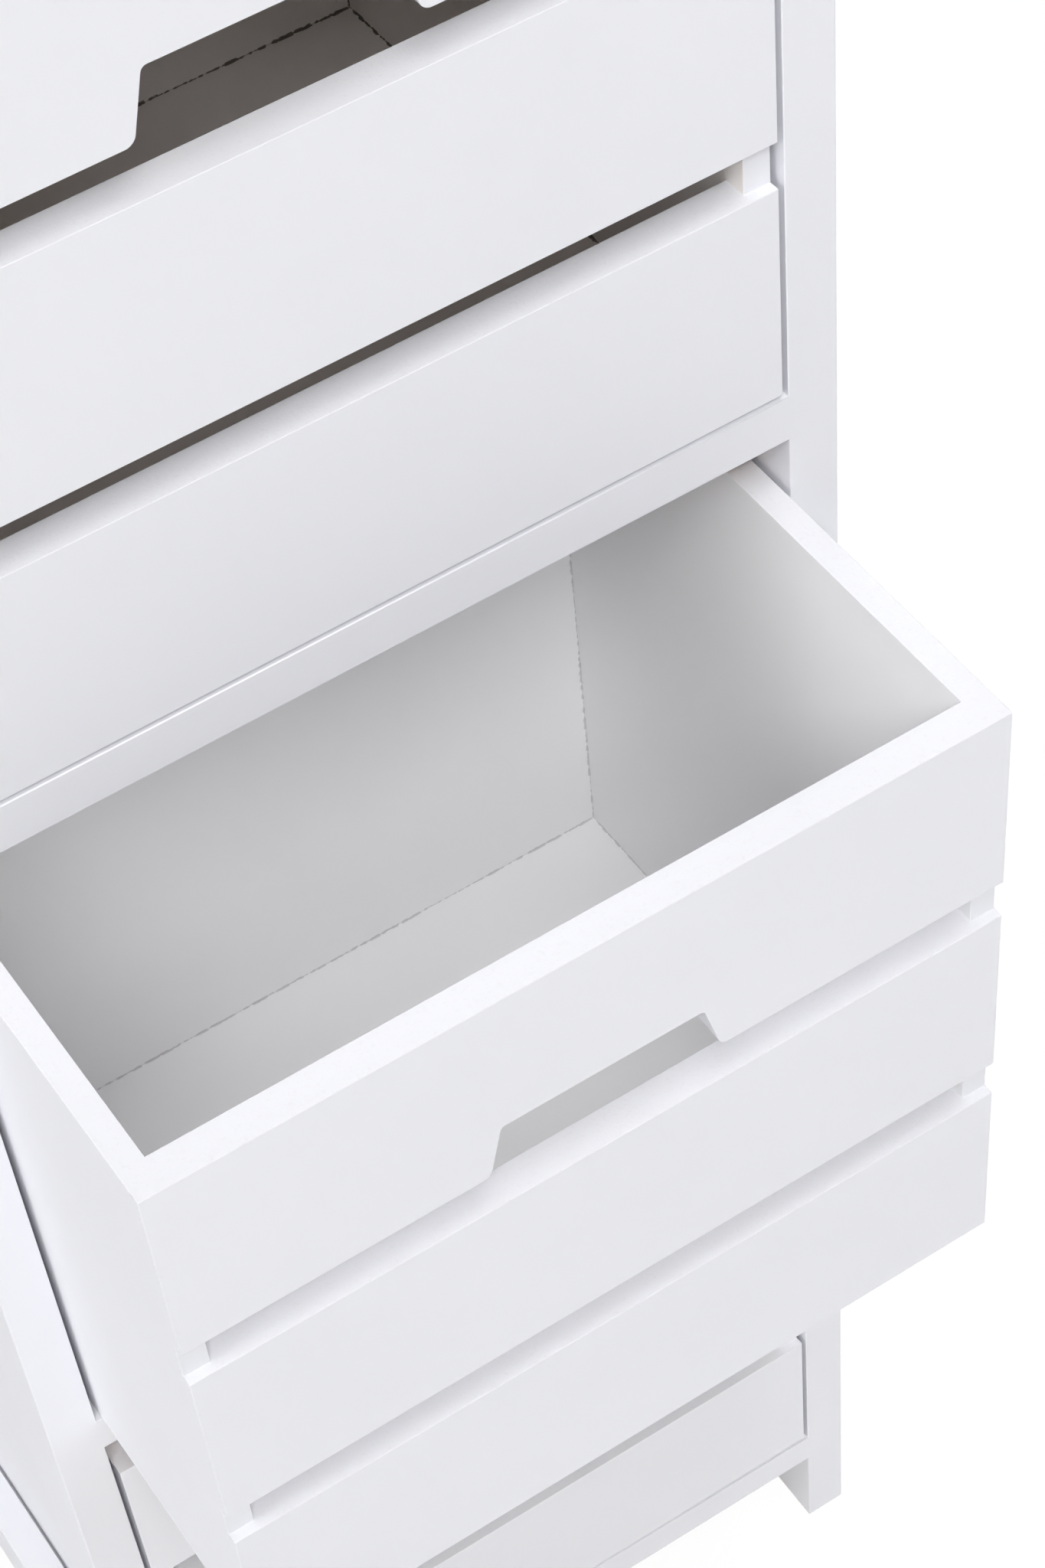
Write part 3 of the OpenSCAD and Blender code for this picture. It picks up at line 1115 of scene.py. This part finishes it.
@dataclass
class Drawer:
    """One drawer: three slats in front, two sides, a back and a floor."""

    bay: Bay
    edge_radius: float = 0.00025
    floor_edge_radius: float = 0.0000625
    cut_width_top: float = 0.092
    cut_width_edge: float = 0.106
    cut_height: float = 0.0265
    cut_radius_top: float = 0.0026
    cut_radius_edge: float = 0.0046
    cut_steps: int = 6
    body: str = field(init=False)
    slats: dict[Row, Box] = field(init=False)
    sides: dict[Side, Box] = field(init=False)
    back: Box = field(init=False)
    floor: Box = field(init=False)
    inner_x: float = field(init=False)
    paint: SeamedPaintWithPaintedLight = field(init=False)

    def __post_init__(self) -> None:
        """Reads the places of the drawer's boards and mixes the paint of its inside, which carries painted
        light.
        """
        self.body = f"drawer_{self.bay.value}"
        self.slats = {row: Box.of(f"{self.body}_slat_{row.value}") for row in Row}
        self.sides = {side: Box.of(f"{self.body}_side_{side.value}") for side in Side}
        self.back = Box.of(f"{self.body}_back")
        self.floor = Box.of(f"{self.body}_floor")
        self.inner_x = self.back.high.x
        front_y, back_y = self.slats[Row.BOTTOM].high.y, self.back.low.y
        # The closed drawers get the warm copy of the inside paint, with its painted warm shade.
        kind = SeamedPaintWithPaintedLight if self.bay is Bay.MIDDLE else SeamedPaintWithPaintedWarmShade
        self.paint = kind(
            f"{self.body}_inner_paint",
            middle=(0.0, (front_y + back_y) / 2, self.floor.high.z),
            half_width=self.inner_x,
            half_depth=(back_y - front_y) / 2,
        )

    def build(self) -> None:
        """Builds every board of the drawer."""
        for row in Row:
            self.build_slat(row)
        for side in Side:
            self.build_side(side)
        self.build_back()
        self.build_floor()
        dress_node(f"{self.body}_dowels", WOOD[Grain.ALONG_X])

    def finish_board(self, piece: bpy.types.Object, node: str, inward: Point) -> None:
        """Paints one board of the drawer.

        Args:
            piece: The board.
            node: The node that it stands for.
            inward: The direction from the board to the inside of the drawer.
        """
        # The inside paint carries painted light, and the edge paint carries painted shade on the faces
        # that look up and down.
        paints = [PAINT, self.paint, SHADED_EDGE_PAINT]
        pick = inner_and_edges(Vector(inward))
        finish_piece(piece, node, self.body, paints, pick)

    def slat_solids(self) -> list[Box]:
        """Gives the slats as boxes that the drawer sides may be cut along.

        Returns:
            Two boxes for each slat: the whole width in front, the core between the sides.
        """
        tongue_y = self.sides[Side.LEFT].low.y
        solids = []
        for slat in self.slats.values():
            solids.append(Box(slat.low, Vector((slat.high.x, tongue_y, slat.high.z))))
            low = Vector((-self.inner_x, tongue_y, slat.low.z))
            solids.append(Box(low, Vector((self.inner_x, slat.high.y, slat.high.z))))
        return solids

    def slat_outline(self, row: Row) -> list[Vector]:
        """Gives the corners of a slat seen from the front, with the cut-out in the top one.

        Args:
            row: Which slat.

        Returns:
            Its corners in order, in the plane of its front face.
        """
        box = self.slats[row]
        left, right, bottom, top = box.low.x, box.high.x, box.low.z, box.high.z
        corners = [(right, bottom), (right, top), (left, top), (left, bottom)]
        if row is Row.TOP:
            edge, roof = self.cut_width_edge / 2, self.cut_width_top / 2
            roof_z = bottom + self.cut_height
            corners += [(-edge, bottom), (-roof, roof_z), (roof, roof_z), (edge, bottom)]
        return [Vector((x, box.low.y, z)) for x, z in corners]

    def round_cut_out(self, bm: bmesh.types.BMesh) -> None:
        """Rounds the corners of the finger cut-out, the lower two more than the upper.

        Args:
            bm: The slat's mesh, before its edges are eased.
        """
        half_width = self.cut_width_edge / 2 + JOINED
        lean = (self.cut_width_edge - self.cut_width_top) / 2
        flank = Vector((lean, self.cut_height)).length
        edge_z = self.slats[Row.TOP].low.z
        roof_z = edge_z + self.cut_height
        for place, radius in ((roof_z, self.cut_radius_top), (edge_z, self.cut_radius_edge)):
            corners = [
                edge
                for edge in bm.edges
                if abs(edge.verts[0].co.x) < half_width
                and abs(edge.verts[0].co.y - edge.verts[1].co.y) > JOINED
                and abs(edge.verts[0].co.z - place) < JOINED
            ]
            # A rounding of this radius starts so far from the corner on both of its lines.
            reach = radius * (flank - lean) / self.cut_height
            round_edges(bm, corners, reach, self.cut_steps, smooth=False)

    def build_slat(self, row: Row) -> None:
        """Builds a slat that laps over the drawer sides with a thin tongue at each end.

        Args:
            row: Which slat.
        """
        box = self.slats[row]
        tongue_y = self.sides[Side.LEFT].low.y
        tongue = tongue_y - box.low.y
        bm = bmesh.new()
        outline = [bm.verts.new(point) for point in self.slat_outline(row)]
        push_back(bm, [bm.faces.new(outline)], tongue)
        for place in (-self.inner_x, self.inner_x):
            cut_at(bm, Axis.X, place)
        core = [
            part
            for part in bm.faces
            if all(abs(vert.co.y - tongue_y) < JOINED for vert in part.verts)
            and abs(part.calc_center_median().x) < self.inner_x - JOINED
        ]
        push_back(bm, core, box.size.y - tongue)
        bmesh.ops.delete(bm, geom=core, context="FACES")
        bmesh.ops.dissolve_limit(bm, angle_limit=FLAT_ANGLE, verts=bm.verts[:], edges=bm.edges[:])
        if row is Row.TOP:
            self.round_cut_out(bm)
        bmesh.ops.recalc_face_normals(bm, faces=bm.faces[:])
        ease_edges(bm, self.edge_radius, list(self.sides.values()))
        node = f"{self.body}_slat_{row.value}"
        piece = piece_from(bm, f"{node}_painted")
        self.finish_board(piece, node, (0.0, 1.0, 0.0))

    def build_side(self, side: Side) -> None:
        """Builds a drawer side, flush with the slats and the back where they meet.

        Args:
            side: Which side.
        """
        node = f"{self.body}_side_{side.value}"
        joined_to = self.slat_solids() + [self.back]
        piece = board(f"{node}_painted", self.sides[side], self.edge_radius, joined_to)
        self.finish_board(piece, node, (-side.outward, 0.0, 0.0))

    def build_back(self) -> None:
        """Builds the drawer back between the sides."""
        node = f"{self.body}_back"
        piece = board(f"{node}_painted", self.back, self.edge_radius, list(self.sides.values()))
        self.finish_board(piece, node, (0.0, -1.0, 0.0))

    def build_floor(self) -> None:
        """Builds the thin floor, painted above and raw below."""
        node = f"{self.body}_floor"
        piece = board(f"{node}_painted", self.floor, self.floor_edge_radius)
        below = Vector((0.0, 0.0, -1.0))
        finish_piece(
            piece, node, self.body, [self.paint, HARDBOARD], second_towards(below)
        )


# The studio


@dataclass(frozen=True)
class Softbox:
    """One large square lamp that looks at the tower."""

    name: str
    place: Point
    size: float
    power: float
    aim: Point = (0.0, -0.1, 0.7)

    def hang(self) -> None:
        """Hangs the lamp in its place and turns it."""
        data = bpy.data.lights.new(self.name, "AREA")
        data.shape = "SQUARE"
        data.size = self.size
        data.energy = self.power
        lamp = bpy.data.objects.new(self.name, data)
        turn = (Vector(self.aim) - Vector(self.place)).to_track_quat("-Z", "Y")
        lamp.matrix_world = Matrix.Translation(self.place) @ turn.to_matrix().to_4x4()
        bpy.context.scene.collection.objects.link(lamp)


@dataclass
class Studio:
    """Camera, lights, backdrop and floor."""

    camera_place: Point = (-0.3932, -0.9325, 1.8262)
    camera_right: Point = (0.83586, -0.54393, -0.07410)
    camera_forward: Point = (0.27098, 0.52622, -0.80602)
    focal_length: float = 81.635
    sensor_width: float = 36.0
    frame_shift: float = 0.2
    sky_colour: Colour = (1.0, 1.0, 1.0)
    sky_strength: float = 0.16
    mirrored_strength: float = 0.6
    floor_size: float = 14.0
    floor_colour: Colour = (0.84, 0.84, 0.84)
    floor_roughness: float = 0.9
    floor_gloss: float = 0.1
    floor_glow: float = 1.04
    floor_fade: Span = (1.2, 5.0)
    floor_whiteness: Span = (0.9, 1.0)
    lamps: tuple[Softbox, ...] = (
        Softbox("key_softbox", (-1.77, -4.25, 6.0), 2.4, 243.0),
        Softbox("near_softbox", (0.1, -1.0, 4.2), 1.6, 28.0),
        Softbox("top_softbox", (0.0, -1.5, 7.5), 2.4, 40.0),
        Softbox("left_softbox", (-6.45, -0.6, 2.4), 2.4, 138.0),
        Softbox("right_softbox", (3.9, -4.7, 4.2), 2.4, 48.0),
        Softbox("rear_softbox", (3.4, 5.6, 3.6), 2.4, 90.0),
    )

    def build(self) -> None:
        """Sets up the whole studio."""
        bpy.context.scene.view_settings.view_transform = "Standard"
        self.place_camera()
        self.light_sky()
        for lamp in self.lamps:
            lamp.hang()
        self.lay_floor()

    def place_camera(self) -> None:
        """Puts the camera where the photograph was taken from."""
        data = bpy.data.cameras.new("studio_camera")
        data.lens = self.focal_length
        data.sensor_width = self.sensor_width
        data.shift_y = self.frame_shift
        camera = bpy.data.objects.new("studio_camera", data)
        right, forward = Vector(self.camera_right), Vector(self.camera_forward)
        turn = Matrix((right, right.cross(forward), -forward)).transposed()
        camera.matrix_world = Matrix.Translation(self.camera_place) @ turn.to_4x4()
        bpy.context.scene.collection.objects.link(camera)
        bpy.context.scene.camera = camera

    def light_sky(self) -> None:
        """Lights the room evenly and shows the camera a white backdrop."""
        world = bpy.data.worlds.new("studio_sky")
        world.use_nodes = True
        bpy.context.scene.world = world
        bench = NodeBench(world.node_tree)
        background = world.node_tree.nodes["Background"]
        path = bench.add("ShaderNodeLightPath")
        strengths = (self.sky_strength, self.mirrored_strength)
        unseen = bench.spread(path.outputs["Is Glossy Ray"], FULL, strengths)
        strength = bench.spread(path.outputs["Is Camera Ray"], FULL, (unseen, 1.0))
        background.inputs["Color"].default_value = rgba(self.sky_colour)
        world.node_tree.links.new(strength, background.inputs["Strength"])

    def lay_floor(self) -> None:
        """Lays a pale floor that shows white to the camera and keeps a soft shadow."""
        bm = bmesh.new()
        bmesh.ops.create_grid(bm, x_segments=1, y_segments=1, size=self.floor_size / 2)
        floor = piece_from(bm, "studio_floor")
        bench = MaterialBench("pale_floor")
        shader = bench.shader
        shader.inputs["Base Color"].default_value = rgba(self.floor_colour)
        shader.inputs["Roughness"].default_value = self.floor_roughness
        shader.inputs["Specular IOR Level"].default_value = self.floor_gloss
        white = bench.add("ShaderNodeEmission", Strength=self.floor_glow)
        seen = bench.add("ShaderNodeLightPath").outputs["Is Camera Ray"]
        distance = bench.add("ShaderNodeVectorMath", {"operation": "LENGTH"}, slot0=bench.place)
        whiteness = bench.spread(distance.outputs["Value"], self.floor_fade, self.floor_whiteness)
        share = bench.math("MULTIPLY", seen, whiteness)
        mixed = bench.add(
            "ShaderNodeMixShader", slot0=share, slot1=shader.outputs[0], slot2=white.outputs[0]
        )
        surface = bench.tree.nodes["Material Output"].inputs["Surface"]
        bench.tree.links.new(mixed.outputs[0], surface)
        floor.data.materials.append(bench.material)


def main() -> None:
    """Builds the tower and its studio in order."""
    logging.basicConfig(level=logging.INFO, format="%(message)s")
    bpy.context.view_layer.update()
    Studio().build()
    Carcass().build()
    for bay in Bay:
        Drawer(bay).build()


if __name__ == "__main__":
    main()
